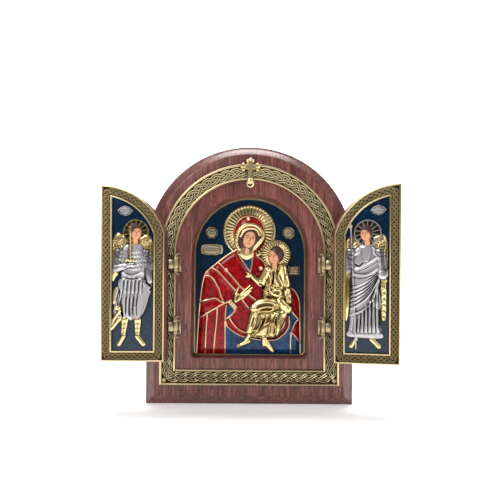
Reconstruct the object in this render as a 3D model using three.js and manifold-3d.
// A small household triptych: an arched wooden case with an enamelled icon in a recess,
// and two half-arched wings on pin hinges, each with an angel in relief.
// Millimetres, +Z up, the front faces -Y, the origin is the middle of the underside.
import * as THREE from "three";
import { mergeVertices } from "three/addons/utils/BufferGeometryUtils.js";
import Module from "manifold-3d";

const wasm = await Module();
wasm.setup();

// Driving sizes
const caseHeight = 200;
const caseWidth = 161;
const caseDepth = 30;
const bevelWidth = 6.5;
const bevelDepth = 4.5;
const edgeRound = 1.5;

const nicheHalfWidth = 44.7;
const nicheBottom = 36.3;
const nicheTop = 162.4;
const nicheCorner = 2.5;
const nicheDepth = 16.8;

const bandOuterHalf = 68.6;
const bandWidth = 12;
const bandBottom = 15.7;
const bandTop = 184.8;
const bandHeight = 2.3;
const bandGround = 1.3;
const bandRim = 1.4;
const bandRepeat = 14.5;

const plateThickness = 1.6;
const plateRimWidth = 1.3;
const plateRimHeight = 0.9;
const motherHeight = 111;
const motherRelief = 5.6;
const childHeight = 84;
const childRelief = 5.4;
const plaqueThickness = 1.6;
const plaqueEdge = 0.5;
const strokeHeight = 0.3;
const strokeWidth = 0.8;
const strokePitch = 1.8;
const medallionRadius = 5.4;
const medallionX = 30.6;
const medallionRise = 16.6;
const ovalHalfWidth = 9.4;
const ovalHalfHeight = 5;
const ovalX = -30.4;
const ovalRise = 3.1;
const squareHalfWidth = 5;
const squareHalfHeight = 4;
const squareX = 35;
const squareDrop = 13.3;

const wingWidth = 47.1;
const wingBottom = 34.5;
const wingTop = 165.8;
const leafThickness = 6;
const leafLip = 1.5;
const frameThickness = 2;
const frameGround = 1.2;
const frameBorder = 8;
const frameRim = 1.1;
const frameRepeat = 17;
const fieldThickness = 0.8;
const angelHeight = 96.4;
const angelRise = 2.8;
const angelLeftX = -0.35;
const angelRightX = -0.75;
const lozengeHalfWidth = 6.3;
const lozengeHalfHeight = 4.2;
const lozengeLeftX = -5.75;
const lozengeRightX = 7.75;
const lozengeDrop = 19;
const wingFaceGap = 1;
const wingClosedGap = 0.8;

const hingeHeights = [60.4, 107.7];
const barrelRadius = 2;
const pinRadius = 0.9;
const hingeSpan = 11.4;
const knuckleHeight = 7;
const ringRadius = 1.5;
const ringWire = 1.2;
const pinTail = 1;
const strapBack = 1;
const strapFront = 0.4;
const seatInner = 3.2;
const seatOuter = 0.6;
const seatThickness = 1.1;
const armWidth = 2.4;
const hingeAxisX = 55.6;

const leftOpenAngle = 0;
const rightOpenAngle = 12;
const crossHeight = 20;
const crossThickness = 2.2;
const crossRing = 3;
const crossWire = 1.1;
const clearance = 0.5;
const fit = 0.3;
const skin = 0.1;

// Sizes that follow
const faceY = -caseDepth / 2;
const caseRadius = caseWidth / 2;
const archZ = caseHeight - caseRadius;
const nicheArchZ = nicheTop - nicheHalfWidth;
const bandArchZ = bandTop - bandOuterHalf;
const crossZ = bandTop - bandWidth * 0.25;
const frameFront = leafThickness / 2 + frameThickness;
const axisOut = frameFront + wingFaceGap;
const wingOuter = hingeAxisX - wingClosedGap / 2;
const wingInner = wingOuter - wingWidth;
const wingRadius = wingOuter - wingInner + wingClosedGap / 2 + frameRim * 2;
const wingArchZ = wingTop - wingRadius;
const plateBack = -nicheDepth + fit;
const plateFront = plateBack + plateThickness;
const iconBase = plateFront + fit;
const leafFront = leafThickness / 2;
const pocketFloor = leafFront - fieldThickness - fit;
const fieldFront = leafFront;
const angelBase = fieldFront + fit;
const childSeat = motherRelief * 0.6 + fit;
const iconFoot = nicheBottom + 2 * fit + plateRimWidth;
const angelFoot = wingBottom + frameBorder + angelRise;
const wingMiddle = (wingInner + wingOuter) / 2;

// Steps along the curves
const caseSteps = 28;
const nicheSteps = 18;
const bandSteps = 18;
const wingSteps = 9;

const finishes = {
  wood: new THREE.MeshStandardMaterial({ color: 0x7a4038, roughness: 0.45, metalness: 0 }),
  brass: new THREE.MeshStandardMaterial({ color: 0x9c8656, roughness: 0.35, metalness: 1 }),
  gold: new THREE.MeshStandardMaterial({ color: 0xd8b45c, roughness: 0.3, metalness: 1 }),
  silver: new THREE.MeshStandardMaterial({ color: 0xb9babd, roughness: 0.35, metalness: 1 }),
  blue: new THREE.MeshStandardMaterial({ color: 0x0a2a52, roughness: 0.25, metalness: 0 }),
  red: new THREE.MeshStandardMaterial({ color: 0xa4101a, roughness: 0.25, metalness: 0 }),
};

// Solids. Everything flat is drawn as a sheet: x to the right, y up, and thickness towards the viewer.
function solidOf(geometry) {
  const bare = geometry.index ? geometry.toNonIndexed() : geometry.clone();
  bare.deleteAttribute("normal");
  bare.deleteAttribute("uv");
  const merged = mergeVertices(bare, 1e-4);
  return new wasm.Manifold(
    new wasm.Mesh({
      numProp: 3,
      vertProperties: merged.attributes.position.array,
      triVerts: new Uint32Array(merged.index.array),
    }),
  );
}

function geometryOf(solid) {
  const mesh = solid.getMesh();
  const geometry = new THREE.BufferGeometry();
  geometry.setAttribute("position", new THREE.BufferAttribute(mesh.vertProperties, 3));
  geometry.setIndex(new THREE.BufferAttribute(mesh.triVerts, 1));
  const flat = geometry.toNonIndexed();
  flat.computeVertexNormals();
  return flat;
}

function joined(solids) {
  return wasm.Manifold.union(solids);
}

const point = (x, y) => new THREE.Vector2(x, y);

// A closed spline or polygon through points, as a list of points
function curved(points, steps) {
  const path = new THREE.CatmullRomCurve3(
    points.map(([x, y]) => new THREE.Vector3(x, y, 0)),
    true,
    "catmullrom",
    0.5,
  );
  return path.getPoints(steps).slice(0, -1).map((p) => [p.x, p.y]);
}

function slab(points, low, high, bevel = 0) {
  const shape = new THREE.Shape(points.map(([x, y]) => point(x, y)));
  const geometry = new THREE.ExtrudeGeometry(shape, {
    depth: high - low - bevel,
    bevelEnabled: bevel > 0,
    bevelSegments: 1,
    bevelThickness: bevel,
    bevelSize: bevel,
    bevelOffset: -bevel,
  });
  geometry.translate(0, 0, low);
  return bevel > 0 ? above(solidOf(geometry), low) : solidOf(geometry);
}

function block(x0, x1, y0, y1, low, high) {
  const geometry = new THREE.BoxGeometry(x1 - x0, y1 - y0, high - low);
  geometry.translate((x0 + x1) / 2, (y0 + y1) / 2, (low + high) / 2);
  return solidOf(geometry);
}

// A low dome on an oval plan
function dome([x, y], halfWidth, halfHeight, base, rise, sides = 8, tilt = 0) {
  const geometry = new THREE.SphereGeometry(1, sides, 4);
  geometry.rotateX(Math.PI / 2);
  geometry.scale(halfWidth, halfHeight, rise);
  geometry.rotateZ(tilt);
  geometry.translate(x, y, base);
  return solidOf(geometry);
}

function disc([x, y], radius, low, high, sides = 24) {
  const geometry = new THREE.CylinderGeometry(radius, radius, high - low, sides);
  geometry.rotateX(Math.PI / 2);
  geometry.translate(x, y, (low + high) / 2);
  return solidOf(geometry);
}

// A tapering limb or roll of cloth between two points, round above its base
function limb([x0, y0], [x1, y1], radius0, radius1, base, rise, sides = 5) {
  const along = new THREE.Vector2(x1 - x0, y1 - y0);
  const profile = [
    point(0, -radius0 * 0.8),
    point(radius0, 0),
    point(radius1, along.length()),
    point(0, along.length() + radius1 * 0.8),
  ];
  const geometry = new THREE.LatheGeometry(profile, sides);
  geometry.scale(1, 1, rise / Math.max(radius0, radius1));
  geometry.rotateZ(along.angle() - Math.PI / 2);
  geometry.translate(x0, y0, base);
  return solidOf(geometry);
}

// A raised fold: a roof along a path, drawn out to a point at both ends
function fold(points, width, low, high) {
  const path = points.map(([x, y]) => point(x, y));
  const last = path.length - 1;
  const middle = (low + high) / 2;
  const corners = [[path[0].x, path[0].y, middle]];
  for (let i = 1; i < last; i += 1) {
    const ahead = path[i + 1].clone().sub(path[i - 1]).normalize();
    const side = point(-ahead.y, ahead.x).multiplyScalar(width / 2);
    const { x, y } = path[i];
    corners.push([x + side.x, y + side.y, low], [x, y, high], [x - side.x, y - side.y, low]);
  }
  corners.push([path[last].x, path[last].y, middle]);
  const end = corners.length - 1;
  const faces = [];
  for (let k = 0; k < 3; k += 1) {
    const next = (k + 1) % 3;
    faces.push(0, 1 + next, 1 + k, end, end - 3 + k, end - 3 + next);
    for (let row = 1; row + 3 < end; row += 3) {
      faces.push(row + k, row + next, row + 3 + k, row + next, row + 3 + next, row + 3 + k);
    }
  }
  return closed(corners, faces);
}

// Joins rings of the same number of corners into one closed solid, capped at both ends
function lofted(corners, ring) {
  const faces = [];
  const rows = corners.length / ring;
  for (let row = 0; row + 1 < rows; row += 1) {
    const next = (row + 1) * ring;
    for (let k = 0; k < ring; k += 1) {
      const a = row * ring + k;
      const b = row * ring + ((k + 1) % ring);
      faces.push(a, b, next + k, b, next + ((k + 1) % ring), next + k);
    }
  }
  const end = corners.length - ring;
  for (let k = 1; k + 1 < ring; k += 1) faces.push(0, k + 1, k, end, end + k, end + k + 1);
  return closed(corners, faces);
}

// A solid from corners and faces, turned to face outwards
function closed(corners, faces) {
  const geometry = new THREE.BufferGeometry();
  geometry.setAttribute("position", new THREE.Float32BufferAttribute(corners.flat(), 3));
  geometry.setIndex(faces);
  const solid = solidOf(geometry);
  return solid.volume() < 0 ? solidOf(turned(geometry)) : solid;
}

function turned(geometry) {
  const index = Array.from(geometry.index.array);
  for (let i = 0; i < index.length; i += 3) [index[i], index[i + 1]] = [index[i + 1], index[i]];
  geometry.setIndex(index);
  return geometry;
}

// Cuts away what lies behind a base plane
function above(solid, base) {
  const reach = 400;
  return solid.subtract(block(-reach, reach, -reach, reach, base - reach, base));
}

// An arched outline, and the same outline drawn in by an inset
function archPoints(halfWidth, bottom, centreY, steps, inset = 0, corner = 0) {
  const half = halfWidth - inset;
  const low = bottom + inset;
  const points = [];
  for (let i = 0; i <= steps; i += 1) {
    const angle = (Math.PI * i) / steps;
    points.push([half * Math.cos(angle), centreY + half * Math.sin(angle)]);
  }
  if (corner > 0) {
    points.push([-half, low + corner], [-half + corner * 0.3, low + corner * 0.3], [-half + corner, low]);
    points.push([half - corner, low], [half - corner * 0.3, low + corner * 0.3], [half, low + corner]);
  } else {
    points.push([-half, low], [half, low]);
  }
  return points;
}

// Half an arch, from the hinge side at x = inner to the straight outer edge at x = outer
function wingPoints(inner, outer, bottom, centreX, centreY, radius, steps) {
  const points = [[inner, bottom], [outer, bottom]];
  const start = Math.asin((centreX - outer) / radius);
  const end = Math.asin(Math.min(1, (centreX - inner) / radius));
  for (let i = 0; i <= steps; i += 1) {
    const angle = start + ((end - start) * i) / steps;
    points.push([centreX - radius * Math.sin(angle), centreY + radius * Math.cos(angle)]);
  }
  return points;
}

// Plaited carving: a strip pleated in herringbone along an open path, sunk between two rims
function plait(path, repeat, breadth, low, high) {
  const total = pathLength(path);
  const stations = 2 * Math.round(total / repeat);
  const corners = [];
  for (let i = 0; i <= stations; i += 1) {
    const edge = pathPoint(path, (i * total) / stations);
    const middle = pathPoint(path, ((i + 0.8) * total) / (stations + 1));
    const rise = i % 2 === 0 ? high : low;
    corners.push([...offset(edge, breadth / 2), rise], [...offset(middle, 0), rise]);
    corners.push([...offset(edge, -breadth / 2), rise]);
    corners.push([...offset(edge, -breadth / 2), low - 0.6], [...offset(edge, breadth / 2), low - 0.6]);
  }
  return lofted(corners, 5);
}

// A pointed boss where two runs of carving meet
function cornerBoss([x, y], reach, low, high) {
  return dome([x, y], reach, reach, low, high - low, 6);
}

function bar([x0, y0], [x1, y1], width, low, high) {
  const along = point(x1 - x0, y1 - y0).normalize();
  const side = point(-along.y, along.x).multiplyScalar(width / 2);
  const corners = [];
  for (const [x, y] of [[x0, y0], [x1, y1]]) {
    corners.push([x + side.x, y + side.y, low], [x, y, high], [x - side.x, y - side.y, low]);
  }
  return lofted(corners, 3);
}

function pathLength(path) {
  return path.slice(1).reduce((sum, p, i) => sum + distance(path[i], p), 0);
}

function distance(a, b) {
  return Math.hypot(b[0] - a[0], b[1] - a[1]);
}

// The point at a length along an open path, with the unit vector across it
function pathPoint(path, length) {
  let left = length;
  for (let i = 0; i + 1 < path.length; i += 1) {
    const a = path[i];
    const b = path[i + 1];
    const step = distance(a, b);
    if (left <= step || i + 2 === path.length) {
      const t = Math.min(1, left / step);
      const across = [-(b[1] - a[1]) / step, (b[0] - a[0]) / step];
      return { at: [a[0] + (b[0] - a[0]) * t, a[1] + (b[1] - a[1]) * t], across };
    }
    left -= step;
  }
  return null;
}

function offset({ at, across }, by) {
  return [at[0] + across[0] * by, at[1] + across[1] * by];
}

// Meshes
const root = new THREE.Group();

function addMesh(parent, name, solid, finish) {
  const mesh = new THREE.Mesh(geometryOf(solid), finish);
  mesh.name = name;
  parent.add(mesh);
  return mesh;
}

// A group whose sheet faces the viewer
function sheetGroup(parent, x, y, z) {
  const group = new THREE.Group();
  group.position.set(x, y, z);
  group.rotation.x = Math.PI / 2;
  parent.add(group);
  return group;
}

// Case
function caseSolid() {
  const drop = bevelDepth + edgeRound;
  const outline = (inset) => archPoints(caseRadius, 0, archZ, caseSteps, inset);
  const body = slab(outline(0), -caseDepth, -drop);
  const shoulder = steppedSlab(outline(0), outline(edgeRound), -drop, -bevelDepth);
  const bevel = steppedSlab(outline(edgeRound), outline(edgeRound + bevelWidth), -bevelDepth, 0);
  const niche = slab(
    archPoints(nicheHalfWidth, nicheBottom, nicheArchZ, nicheSteps, 0, nicheCorner),
    -nicheDepth,
    fit,
  );
  return joined([body, shoulder, bevel]).subtract(niche);
}

// A slab whose outline changes from one list of points to another of the same count
function steppedSlab(lowPoints, highPoints, low, high) {
  const corners = [
    ...lowPoints.map(([x, y]) => [x, y, low]),
    ...highPoints.map(([x, y]) => [x, y, high]),
  ];
  return lofted(corners, lowPoints.length);
}

// Brass band round the niche
function bandSolid() {
  const outline = (inset) => archPoints(bandOuterHalf, bandBottom, bandArchZ, bandSteps, inset);
  const ring = (from, to, low, high) =>
    slab(outline(from), low, high).subtract(slab(outline(to), low - 1, high + 1));
  const base = ring(0, bandWidth, fit, bandGround);
  const outerRim = ring(0, bandRim, bandGround - fit, bandHeight);
  const innerRim = ring(bandWidth - bandRim, bandWidth, bandGround - fit, bandHeight);
  const breadth = bandWidth - bandRim;
  const middle = bandWidth / 2;
  const [half, foot] = [bandOuterHalf - middle, bandBottom + middle];
  const arch = [[half, foot + middle], ...outline(middle).slice(0, bandSteps + 1), [-half, foot + middle]];
  const sill = [[middle - half, foot], [half - middle, foot]];
  const [low, high] = [bandGround + skin, bandHeight - skin];
  const carving = [arch, sill].map((run) => plait(run, bandRepeat, breadth, low, high));
  const bosses = [-half, half].map((x) => cornerBoss([x, foot], middle * 0.7, bandGround - skin, bandHeight));
  const seats = [-1, 1].flatMap((side) => hingeHeights.map((height) => hingeRoom(side, height)));
  return joined([base, outerRim, innerRim, ...carving, ...bosses]).subtract(joined(seats));
}

// The room that a hinge's seat needs on the case's face
function hingeRoom(side, height) {
  const ends = [side * (hingeAxisX - seatInner - fit), side * (hingeAxisX + seatOuter + fit)];
  const half = hingeSpan / 2 + fit;
  return block(Math.min(...ends), Math.max(...ends), height - half, height + half, 0, axisOut);
}

// Cross with budded arms, standing over the crown of the band
function crossSolid() {
  const low = bandHeight + fit;
  const high = low + crossThickness;
  const unit = crossHeight / 20;
  const arm = 8.2 * unit;
  const stem = 1.6 * unit;
  const foot = -11 * unit;
  const head = 7.4 * unit;
  const bud = 1.9 * unit;
  const buds = [];
  for (const [x, y] of [[arm - bud, 0], [-arm + bud, 0], [0, head - bud]]) {
    const sideways = x === 0 ? [1, 0] : [0, 1];
    buds.push(disc([x, y], bud, low, high, 6));
    for (const lean of [-bud, bud]) {
      const back = [-Math.sign(x) * bud * 0.8, x === 0 ? -bud * 0.8 : 0];
      const centre = [x + back[0] + lean * sideways[0], y + back[1] + lean * sideways[1]];
      buds.push(disc(centre, bud * 0.8, low, high, 6));
    }
  }
  const upright = block(-stem, stem, foot, head - bud, low, high);
  const cross = block(-arm + bud, arm - bud, -stem, stem, low, high);
  const knob = dome([0, foot], 3 * unit, 2.4 * unit, low, 3 * unit, 6);
  const ringZ = wingTop + clearance + crossRing - crossZ;
  const ring = ringSolid([0, ringZ], crossRing - crossWire / 2, crossWire, low);
  return above(joined([...buds, upright, cross, knob, ring]), low);
}

// A small flat ring of square wire
function ringSolid(centre, radius, wire, low) {
  const outer = disc(centre, radius + wire / 2, low, low + wire, 10);
  return outer.subtract(disc(centre, radius - wire / 2, low - wire, low + 2 * wire, 10));
}

// Enamelled plate with its raised rim
function plateSolid() {
  const outline = (inset) =>
    archPoints(nicheHalfWidth, nicheBottom, nicheArchZ, nicheSteps, inset + fit, nicheCorner);
  const rimTop = plateFront + plateRimHeight;
  const base = slab(outline(0), plateBack, plateFront);
  const rim = slab(outline(0), plateBack, rimTop);
  return base.add(rim.subtract(slab(outline(plateRimWidth), plateBack - 1, rimTop + 1)));
}

// A halo whose outer part is fluted: crests and hollows run out to its edge
function halo([x, y], radius, low, high, flutes, depth) {
  const around = flutes * 2;
  const corners = [];
  const ring = (reach, height) => {
    for (let i = 0; i < around; i += 1) {
      const angle = (2 * Math.PI * i) / around;
      corners.push([x + reach * Math.cos(angle), y + reach * Math.sin(angle), height(i)]);
    }
  };
  ring(radius, () => low);
  ring(radius, (i) => (i % 2 === 0 ? high : high - depth));
  ring(radius * 0.6, () => high - depth / 2);
  return lofted(corners, around);
}

// Mother: half length, veiled, in shares of her own drawn height of 111
function motherSolid() {
  const unit = motherHeight / 111;
  const low = 0;
  const cloak = curved(
    [
      [-42, -12], [-41.6, 8], [-40.6, 28], [-38.4, 50], [-33.8, 66.5], [-23, 77.5], [-10.5, 84], [0, 80],
      [12, 83], [21, 71], [28, 58], [36.4, 47], [40.4, 34], [41, 22], [41.2, 6], [41.2, -12], [0, -14],
    ],
    24,
  );
  const parts = [
    slab(cloak, low, 2.6, 1),
    halo([-0.5, 97.2], 20.6, low, 2, 13, 0.8),
    dome([-0.5, 97], 12.8, 14, low, 6.2, 10),
    dome([-6, 90], 8, 11, low, 5, 6),
    dome([-0.4, 92], 6, 8, 3.4, 3.6, 8, -0.2),
    limb([1.4, 84], [0.5, 78], 4.6, 5, low, 4.2),
    limb([-31, 62], [-35, 40], 8, 6.5, 0.4, 3.8),
    limb([-35, 38], [-17, 42], 6, 3.2, 0.4, 4.2),
    limb([-15, 42.6], [-8.8, 49.6], 2.6, 2.6, 1.6, 3),
    slab([[-19.2, 41], [-15, 44.2], [-10, 37], [-13, 33.6]], 1, 4.6, 0.6),
  ];
  const fingers = [[2.4, 56.4], [1.4, 53.6], [-0.4, 51.4], [-10.6, 56.6]];
  for (const tip of fingers) parts.push(limb([-8.4, 49.4], tip, 1.3, 0.8, 2.6, 1.6, 5));
  const veilEdge = [[3.4, 83], [10.2, 92.4], [5.6, 100.8], [-4.6, 101], [-10.2, 93], [-8.4, 82.5]];
  parts.push(fold(veilEdge, 2.6, 4, 7));
  const folds = [
    [[-10, 83], [-16, 66], [-6, 46], [4, 32]],
    [[-24, 76], [-14, 58], [2, 38]],
    [[-33, 66], [-25, 52], [-20, 42]],
    [[-9, 82], [-4, 71], [0.4, 64.6]],
    [[4.2, 83], [2.4, 77], [0.4, 64.6]],
    [[-29, 34], [-31, 18], [-33, 2]],
    [[-18.4, 2], [-18.4, 18], [-18.4, 34]],
    [[-18, 29], [-10, 20], [2, 14], [18, 13], [27, 20], [32, 30]],
    [[-14, 33], [-6, 23], [4, 18]],
    [[34, 28], [33, 14], [34, 2]],
  ];
  for (const path of folds) parts.push(fold(path, 1.7, 1.6, 3.5));
  for (const at of [[-18.7, 66.2], [8.7, 67.6]]) parts.push(disc(at, 1.5, 2, 3.6, 6));
  parts.push(disc([-1.6, 106.6], 1.5, 2, 6.2, 6));
  const drawnRelief = 7;
  const figure = above(joined(parts), low).scale([unit, unit, motherRelief / drawnRelief]);
  return figure.intersect(iconBounds()).subtract(plaqueRoom());
}

// Child: seated on the mother's arm, in shares of its own drawn height of 84
function childSolid() {
  const unit = childHeight / 84;
  const low = 0;
  const robe = curved(
    [
      [13, 70], [20, 72], [26, 68], [29.6, 56], [31, 46], [34.6, 39], [29, 33.6], [25, 22], [19.6, 14.6],
      [12, 13.4], [2.6, 16.4], [1.4, 28], [1.8, 40], [9, 46], [10.6, 58],
    ],
    16,
  );
  const parts = [
    slab(robe, low, 4.4, 1.6),
    halo([20.6, 78.6], 11.4, low, 2.2, 11, 0.8),
    dome([20.6, 77.6], 5.8, 6.8, 1.2, 5.6, 8),
    limb([19.6, 72], [19.4, 69.6], 2.8, 3, 1, 4.4),
    limb([12.6, 64], [8.6, 57.6], 3.4, 2.6, 2, 4.2),
    limb([8, 57], [0.6, 62.6], 2.1, 1.6, 2, 3.6),
    dome([-0.6, 63.4], 2.4, 2, 2.6, 2.4, 6),
    limb([26.6, 66], [28.6, 50], 4, 3.4, 2, 5),
    limb([28, 48], [21, 50.6], 3.6, 3.2, 2, 6),
    limb([24, 46], [5, 40.6], 5.6, 4.8, 1.6, 6.4),
    limb([29, 42], [28, 36], 5.2, 4, 1.6, 5.4),
    limb([4.6, 39], [4.6, 24], 4.8, 3.2, 1, 5.4),
    limb([26.4, 34], [17.6, 16], 4.6, 3.4, 1, 5.2),
    limb([4, 18], [-1, 9.4], 2.2, 1.8, 1, 3.4),
    limb([0, 9.6], [-6.6, 7.6], 2, 1.4, 1, 3.2),
    limb([12.6, 18], [12.6, 10], 2.6, 2.4, 1, 3.8),
    limb([12.6, 10.4], [15.6, 6.4], 3, 2, 1, 3.8),
  ];
  const folds = [
    [[15, 68], [17, 58], [14, 50]],
    [[24, 68], [19, 58], [22, 50]],
    [[9, 58], [12, 52], [18, 49]],
    [[6, 42], [14, 36], [24, 38]],
    [[22, 36], [17, 28], [10, 22], [3, 17]],
    [[12, 34], [10, 26], [6, 18]],
  ];
  for (const path of folds) parts.push(fold(path, 2, 3.4, 6.4));
  const drawnRelief = 8;
  const figure = above(joined(parts), low).scale([unit, unit, childRelief / drawnRelief]);
  return figure.intersect(iconBounds()).subtract(plaqueRoom());
}

// The room that the plaques need on the plate, seen from the figures' foot line
function plaqueRoom() {
  const tablets = iconPlaques().map(({ points, at }) => {
    const [halfWidth, halfHeight] = [0, 1].map((axis) => Math.max(...points.map((p) => p[axis])));
    const [x, y] = [at[0], at[1] - iconFoot];
    const [u, v] = [halfWidth + clearance, halfHeight + clearance];
    return block(x - u, x + u, y - v, y + v, -1, nicheDepth);
  });
  return joined(tablets);
}

// The space inside the plate's rim, seen from the figures' foot line
function iconBounds() {
  const [bottom, centre] = [nicheBottom - iconFoot, nicheArchZ - iconFoot];
  const inset = plateRimWidth + 2 * fit;
  return slab(archPoints(nicheHalfWidth, bottom, centre, nicheSteps, inset, nicheCorner), -1, nicheDepth);
}

// One of an angel's own wings, folded down beside the body
function wingPlan(points, side) {
  return curved(points.map(([x, y]) => [side * x, y]), 8);
}

// Warrior angel, in shares of its own drawn height of 98; x = 0 between the feet
function warriorAngel() {
  const unit = angelHeight / 98;
  const low = 0;
  const feathers = [[4, 84], [11.6, 86.6], [15.6, 78], [15.8, 60], [15, 45], [9, 58]];
  const torso = curved(
    [
      [-9, 75], [0, 78], [9.6, 74], [13, 66], [11.6, 58], [9, 50], [9.4, 40], [6.6, 22], [-5.4, 21.4],
      [-13.4, 20], [-14, 40], [-9.6, 50], [-9, 60], [-12.4, 66],
    ],
    15,
  );
  const parts = [
    slab(wingPlan(feathers, -1), low, 1.1),
    slab(wingPlan(feathers, 1), low, 1.1),
    slab(torso, low, 1.5, 0.7),
    halo([2.6, 87], 9.8, low, 1.3, 8, 0.6),
    dome([2.6, 86.8], 4.8, 6, low, 2.1, 7),
    limb([2.6, 80], [2.4, 78], 2.6, 2.8, low, 1.9),
    limb([-10.6, 72], [-12.2, 61.6], 3.4, 2.6, low, 2),
    limb([-11.6, 61], [-0.6, 62.4], 2.5, 1.7, low, 2.3),
    limb([11, 72], [12.2, 60], 3.3, 2.8, low, 2),
    limb([12, 59], [13, 52], 2.6, 2, low, 2),
    block(-2.5, -0.6, 62.6, 90, 0.6, 2.2),
    block(-4.6, 1.4, 66, 67.4, 0.6, 2.2),
    slab([[6.6, 49], [14, 43], [11.4, 32], [6.6, 22], [-1.4, 23.6], [3, 36]], low, 2, 0.6),
    limb([-5.2, 21], [-6.6, 6], 2.6, 1.7, low, 1.9),
    limb([5, 21], [6, 6], 2.6, 1.7, low, 1.9),
    limb([-7, 4.6], [-10, 1.6], 1.8, 1.5, low, 1.5),
    limb([6.8, 4.6], [10.6, 1.8], 1.8, 1.5, low, 1.5),
    limb([-12.4, 28], [-13.4, 15], 1.7, 1.5, low, 2),
    dome([-11.2, 28.6], 2, 2, low, 2.2, 6),
  ];
  for (let i = 0; i < 4; i += 1) {
    const x = -6.6 + i * 4;
    parts.push(bar([x, 51], [x - 0.8, 40], 3.2, 1, 2.3));
  }
  for (const side of [-1, 1]) {
    const x = side * 13.2;
    parts.push(bar([x, 82], [x + side * 0.6, 54], 2.4, 0.7, 1.7));
  }
  const folds = [
    [[-7, 70], [-2, 64.6], [5, 70]],
    [[-8, 58], [0, 54], [8, 58]],
    [[-11, 46], [-12.6, 34], [-12, 22]],
    [[-3.4, 40], [-4, 31], [-4, 22]],
  ];
  for (const path of folds) parts.push(fold(path, 1.7, 1, 2.2));
  return above(joined(parts), low).scale([unit, unit, 1]);
}

// Robed angel with a staff and a disc, in shares of its own drawn height of 98
function robedAngel() {
  const unit = angelHeight / 98;
  const low = 0;
  const feathers = [[4, 84], [12, 85], [16, 76], [16.4, 60], [15, 40], [9, 56]];
  const robe = curved(
    [
      [-9, 74], [0, 77.6], [9.4, 73], [13.4, 64], [12.6, 52], [10.6, 40], [10.6, 22], [12, 8], [0, 7.4],
      [-12.6, 8.4], [-12, 22], [-11.6, 40], [-11, 52], [-13, 64],
    ],
    15,
  );
  const parts = [
    slab(wingPlan(feathers, -1), low, 1.1),
    slab(wingPlan(feathers, 1), low, 1.1),
    slab(robe, low, 1.5, 0.7),
    slab([[10, 52], [14, 50], [14.4, 24], [11, 20]], low, 1.4),
    halo([1, 86], 10, low, 1.3, 8, 0.6),
    dome([0.4, 86], 4.6, 6, low, 2.1, 8),
    limb([1.4, 79], [1, 77], 2.6, 2.8, low, 1.9),
    limb([-10.4, 71], [-12, 57], 3.6, 3, low, 2),
    limb([10.4, 71], [11.4, 58], 3.6, 3, low, 2),
    disc([11.6, 56], 3.8, low, 2.3, 12),
    limb([-8, 8], [-11.6, 1.6], 1.8, 1.4, low, 1.5),
    limb([5, 8], [10, 2], 1.8, 1.5, low, 1.5),
    bar([-11.4, 88], [-6.8, 0.6], 1.5, 0.6, 2.3),
    dome([-11.5, 89], 1.5, 1.9, low, 2.2, 6),
    fold([[-12, 24], [-3, 32], [4, 42], [10, 53]], 3, 1, 2.4),
    fold([[-12, 30], [-4, 40], [9, 52]], 2, 1, 2.3),
    fold([[-10, 50], [0, 49], [9, 54]], 1.8, 1, 2.2),
    fold([[-8, 60], [0, 66], [8, 70]], 2.2, 1, 2.3),
    fold([[-11, 10.4], [0, 9.6], [11, 10.4]], 2, 1, 2.2),
  ];
  for (let i = 0; i < 5; i += 1) {
    const x = -8 + i * 4;
    const top = 22 + i * 4;
    parts.push(bar([x * 0.8, top], [x, 11], 1.8, 1, 2.1));
  }
  for (const side of [-1, 1]) {
    const x = side * 13.8;
    parts.push(bar([x, 80], [x, 51], 2.4, 0.7, 1.7));
  }
  return above(joined(parts), low).scale([unit, unit, 1]);
}

// Small raised plaques: a chamfered tablet with a raised edge and rows of strokes
function plaqueSolid(points, low, rows, halfLength) {
  const top = low + plaqueThickness;
  const parts = [slab(points, low, top, plaqueEdge)];
  for (let i = 0; i < rows; i += 1) {
    const y = (i - (rows - 1) / 2) * strokePitch;
    parts.push(bar([-halfLength, y], [halfLength, y], strokeWidth, top - strokeHeight, top + strokeHeight));
  }
  return joined(parts);
}

function octagon(radius) {
  return Array.from({ length: 8 }, (_, i) => {
    const angle = ((i + 0.5) * Math.PI) / 4;
    return [radius * Math.cos(angle), radius * Math.sin(angle)];
  });
}

function lozenge(halfWidth, halfHeight) {
  const [u, v] = [halfWidth, halfHeight];
  return [
    [u, 0], [u * 0.6, v * 0.66], [0, v], [-u * 0.6, v * 0.66],
    [-u, 0], [-u * 0.6, -v * 0.66], [0, -v], [u * 0.6, -v * 0.66],
  ];
}

function rectangle(halfWidth, halfHeight) {
  const [u, v] = [halfWidth, halfHeight];
  return [[-u, -v], [u, -v], [u, v], [-u, v]];
}

// Wings
function mirrored(points, side) {
  return side > 0 ? points : points.map(([x, y]) => [-x, y]).reverse();
}

function wingOutline(side, inset, lip = 0) {
  return mirrored(
    wingPoints(
      wingInner + inset - lip,
      wingOuter - inset,
      wingBottom + inset,
      wingOuter + wingClosedGap / 2 - lip,
      wingArchZ,
      wingRadius - inset,
      wingSteps,
    ),
    side,
  );
}

function leafSolid(side) {
  const pocket = slab(wingOutline(side, frameBorder - frameRim * 2), pocketFloor, leafFront + 1);
  return slab(wingOutline(side, 0, leafLip), -leafThickness / 2, leafFront).subtract(pocket);
}

function frameSolid(side) {
  const low = leafFront + fit;
  const ground = leafFront + frameGround;
  const ring = (from, to, bottom, top) =>
    slab(wingOutline(side, from), bottom, top).subtract(slab(wingOutline(side, to), bottom - 1, top + 1));
  const base = ring(0, frameBorder, low, ground);
  const outerRim = ring(0, frameRim, ground - fit, frameFront);
  const innerRim = ring(frameBorder - frameRim, frameBorder, ground - fit, frameFront);
  const breadth = frameBorder - frameRim;
  const [valley, crest] = [ground + skin, frameFront - skin];
  const carving = frameRuns(side).map((run) => plait(run, frameRepeat, breadth, valley, crest));
  return joined([base, outerRim, innerRim, ...carving]);
}

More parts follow.
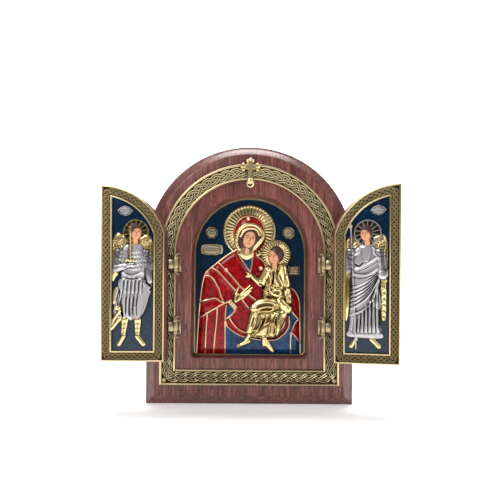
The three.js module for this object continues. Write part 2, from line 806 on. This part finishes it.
// The middle lines of a wing frame's three runs of carving: sill, outer edge, and arch with hinge edge
function frameRuns(side) {
  const middle = frameBorder / 2;
  const [first, second, crown, ...arch] = wingPoints(
    wingInner + middle,
    wingOuter - middle,
    wingBottom + middle,
    wingOuter + wingClosedGap / 2,
    wingArchZ,
    wingRadius - middle,
    wingSteps,
  );
  const runs = [
    [[first[0] + middle, first[1]], [second[0] - middle, second[1]]],
    [[second[0], second[1] + middle], [crown[0], crown[1] - middle]],
    [...arch, [first[0], first[1] + middle]],
  ];
  return runs.map((run) => run.map(([x, y]) => [side * x, y]));
}

function fieldSolid(side) {
  return slab(wingOutline(side, frameBorder - frameRim * 2 + fit), pocketFloor + fit, fieldFront);
}

// Hinges: a seat on the case, a knuckle on the wing and a pin through both, with rings at its ends
function rod(radius, from, to) {
  const geometry = new THREE.CylinderGeometry(radius, radius, to - from, 7);
  geometry.rotateX(Math.PI / 2);
  geometry.translate(0, 0, (from + to) / 2);
  return solidOf(geometry);
}

function upright(x0, x1, y0, y1, z0, z1) {
  const geometry = new THREE.BoxGeometry(Math.abs(x1 - x0), Math.abs(y1 - y0), z1 - z0);
  geometry.translate((x0 + x1) / 2, (y0 + y1) / 2, (z0 + z1) / 2);
  return solidOf(geometry);
}

function pinHole(half) {
  return rod(pinRadius + fit, -half - 1, half + 1);
}

function seatSolid(side) {
  const half = hingeSpan / 2;
  const gapHalf = knuckleHeight / 2 + fit;
  const back = axisOut - fit;
  const parts = [upright(-side * seatInner, side * seatOuter, back, back - seatThickness, -half, half)];
  for (const [z0, z1] of [[gapHalf, half], [-half, -gapHalf]]) {
    parts.push(rod(barrelRadius, z0, z1));
    parts.push(upright(-side * armWidth, 0, 0, back - skin, z0, z1));
  }
  return joined(parts).subtract(pinHole(half));
}

function knuckleSolid(side) {
  const half = knuckleHeight / 2;
  const reach = wingInner - leafLip - fit;
  const strap = upright(side * (barrelRadius - 0.6), side * reach, -strapBack, strapFront, -half, half);
  return rod(barrelRadius, -half, half).add(strap).subtract(pinHole(half));
}

function pinSolid(side) {
  const end = hingeSpan / 2 + fit + pinTail;
  const parts = [rod(pinRadius, -end, end)];
  for (const way of [-1, 1]) {
    const geometry = new THREE.TorusGeometry(ringRadius, ringWire / 2, 3, 6);
    geometry.rotateX(Math.PI / 2);
    geometry.translate(-side * ringRadius, 0, way * (end + ringRadius * 0.6));
    parts.push(solidOf(geometry));
  }
  return joined(parts);
}

// Assembly
function buildCase() {
  const face = sheetGroup(root, 0, faceY, 0);
  addMesh(face, "case", caseSolid(), finishes.wood);
  addMesh(face, "arch_band", bandSolid(), finishes.brass);
  const cross = sheetGroup(root, 0, faceY, crossZ);
  addMesh(cross, "crown_cross", crossSolid(), finishes.brass);
  addMesh(face, "icon_plate", plateSolid(), finishes.blue);
}

function buildIcon() {
  const sheet = sheetGroup(root, 0, faceY - iconBase, iconFoot);
  addMesh(sheet, "mother_relief", motherSolid(), finishes.red);
  addMesh(sheet, "child_relief", childSolid(), finishes.gold).position.z = childSeat;
  for (const { name, points, at, rows, halfLength } of iconPlaques()) {
    const tablet = sheetGroup(root, at[0], faceY - iconBase, at[1]);
    addMesh(tablet, name, plaqueSolid(points, 0, rows, halfLength), finishes.brass);
  }
}

// The four name plaques on the icon's plate, bare of letters
function iconPlaques() {
  const medallion = { points: octagon(medallionRadius), rows: 1, halfLength: medallionRadius * 0.3 };
  const height = nicheArchZ + medallionRise;
  return [
    { ...medallion, name: "medallion_left", at: [-medallionX, height] },
    { ...medallion, name: "medallion_right", at: [medallionX, height] },
    {
      name: "plaque_oval",
      points: curvedTablet(ovalHalfWidth, ovalHalfHeight),
      at: [ovalX, nicheArchZ + ovalRise],
      rows: 2,
      halfLength: ovalHalfWidth * 0.64,
    },
    {
      name: "plaque_square",
      points: rectangle(squareHalfWidth, squareHalfHeight),
      at: [squareX, nicheArchZ - squareDrop],
      rows: 3,
      halfLength: squareHalfWidth * 0.68,
    },
  ];
}

function curvedTablet(halfWidth, halfHeight) {
  const [u, v] = [halfWidth, halfHeight];
  return [
    [u, 0], [u * 0.9, v * 0.72], [u * 0.4, v * 0.97], [-u * 0.4, v * 0.97], [-u * 0.9, v * 0.72],
    [-u, 0], [-u * 0.9, -v * 0.72], [-u * 0.4, -v * 0.97], [u * 0.4, -v * 0.97], [u * 0.9, -v * 0.72],
  ];
}

function buildWing(side, name, openAngle, angel, angelX, lozengeX) {
  const wing = new THREE.Group();
  wing.position.set(side * hingeAxisX, faceY - axisOut, 0);
  wing.rotation.z = -side * THREE.MathUtils.degToRad(openAngle);
  root.add(wing);
  const sheet = sheetGroup(wing, 0, 0, 0);
  addMesh(sheet, `wing_${name}_leaf`, leafSolid(side), finishes.wood);
  addMesh(sheet, `wing_${name}_frame`, frameSolid(side), finishes.brass);
  addMesh(sheet, `wing_${name}_field`, fieldSolid(side), finishes.blue);
  const figureX = side * wingMiddle + angelX;
  const plaqueX = side * wingMiddle + lozengeX;
  const plaqueZ = wingTop - lozengeDrop;
  const figure = sheetGroup(wing, figureX, -angelBase, angelFoot);
  const opening = slab(wingOutline(side, frameBorder + fit), -1, leafThickness);
  const [u, v] = [lozengeHalfWidth + clearance, lozengeHalfHeight + clearance];
  const room = block(plaqueX - u, plaqueX + u, plaqueZ - v, plaqueZ + v, -2, leafThickness + 1);
  const space = opening.subtract(room).translate([-figureX, -angelFoot, 0]);
  addMesh(figure, `angel_${name}`, angel().intersect(space), finishes.silver);
  const tablet = sheetGroup(wing, plaqueX, -angelBase, plaqueZ);
  const diamond = plaqueSolid(lozenge(lozengeHalfWidth, lozengeHalfHeight), 0, 2, lozengeHalfWidth * 0.48);
  addMesh(tablet, `wing_${name}_plaque`, diamond, finishes.silver);
  hingeHeights.forEach((height, i) => {
    const level = i === 0 ? "lower" : "upper";
    const knuckle = addMesh(wing, `hinge_${name}_${level}_knuckle`, knuckleSolid(side), finishes.brass);
    knuckle.position.z = height;
    const seat = addMesh(root, `hinge_${name}_${level}_bracket`, seatSolid(side), finishes.brass);
    seat.position.set(side * hingeAxisX, faceY - axisOut, height);
    const pin = addMesh(root, `hinge_${name}_${level}_pin`, pinSolid(side), finishes.brass);
    pin.position.set(side * hingeAxisX, faceY - axisOut, height);
  });
}

buildCase();
buildIcon();
buildWing(-1, "left", leftOpenAngle, warriorAngel, angelLeftX, lozengeLeftX);
buildWing(1, "right", rightOpenAngle, robedAngel, angelRightX, lozengeRightX);

export default root;
